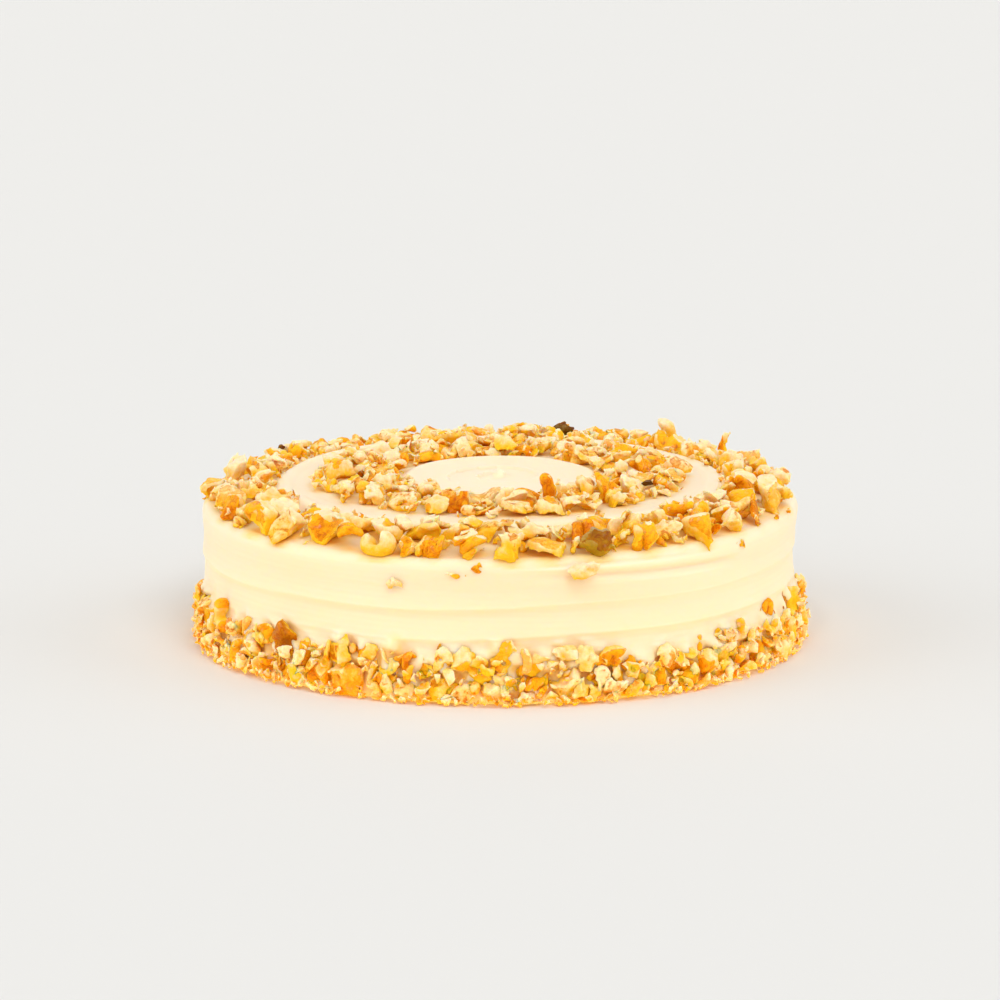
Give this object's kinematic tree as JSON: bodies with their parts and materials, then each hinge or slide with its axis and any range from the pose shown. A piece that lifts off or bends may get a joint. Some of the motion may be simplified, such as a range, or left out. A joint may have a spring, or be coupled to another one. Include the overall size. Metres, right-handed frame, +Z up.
{
  "type": "carrot cake",
  "caption": "Whole round frosted carrot cake with a spatula ridge winding up its side and bands of chopped walnuts on its top and round its foot.",
  "frame": {"origin": "middle of the flat underside, at the height that the cake stands on", "axes": "+Z up, -Y towards the front of the cake, +X to its right seen from the front"},
  "size_m": [0.2187, 0.2178, 0.0659],
  "materials": {
    "frosting": "smooth cream cheese frosting, soft satin",
    "walnut": "chopped walnut, pale flesh with amber to brown skin, matt"
  },
  "bodies": {
    "root": {"frosted_cake": "frosting", "outer_walnut_band": "walnut", "inner_walnut_band": "walnut", "foot_walnut_band": "walnut"}
  },
  "joints": []
}
